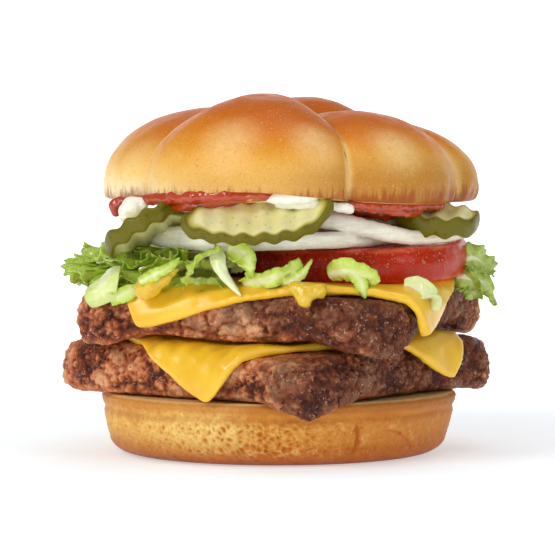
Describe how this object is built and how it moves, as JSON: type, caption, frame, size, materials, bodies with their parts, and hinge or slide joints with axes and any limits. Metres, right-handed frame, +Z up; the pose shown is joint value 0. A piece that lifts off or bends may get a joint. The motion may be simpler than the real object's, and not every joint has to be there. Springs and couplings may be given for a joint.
{
  "type": "double cheeseburger",
  "caption": "Tall burger with square beef patties, draped cheese slices, lettuce, tomato, onion rings, crinkle-cut pickle, sauces and a lobed bun.",
  "frame": {"origin": "middle of the flat face under the lower bun that the burger stands on", "axes": "+Z up, -Y towards the dressed side that is shown to the viewer, +X to that viewer's right"},
  "size_m": [0.1221, 0.1226, 0.1011],
  "materials": {
    "crust": "baked, lightly glazed",
    "beef": "crumbly, moist",
    "cheese": "soft melted sheen",
    "tomato": "wet",
    "leaf": "waxy leaf",
    "onion": "wet, translucent",
    "pickle": "wet",
    "ketchup": "glossy sauce",
    "mayo": "glossy sauce",
    "mustard": "glossy sauce"
  },
  "bodies": {
    "root": {"bun_bottom": "crust", "bun_top": "crust", "patty_lower": "beef", "patty_upper": "beef", "cheese_lower": "cheese", "cheese_upper": "cheese", "tomato_slice": "tomato", "lettuce_bed": "leaf", "lettuce_rib_left": "leaf", "lettuce_leaf_middle": "leaf", "lettuce_leaf_front": "leaf", "lettuce_leaf_right": "leaf", "lettuce_rib_right": "leaf", "lettuce_leaf_far_right": "leaf", "onion_ring_lower": "onion", "onion_ring_upper": "onion", "pickle_front": "pickle", "pickle_left": "pickle", "pickle_right": "pickle", "pickle_back": "pickle", "ketchup": "ketchup", "ketchup_left": "ketchup", "mayo_left": "mayo", "mayo_front": "mayo", "mustard_left": "mustard", "mustard_front": "mustard"}
  },
  "joints": []
}
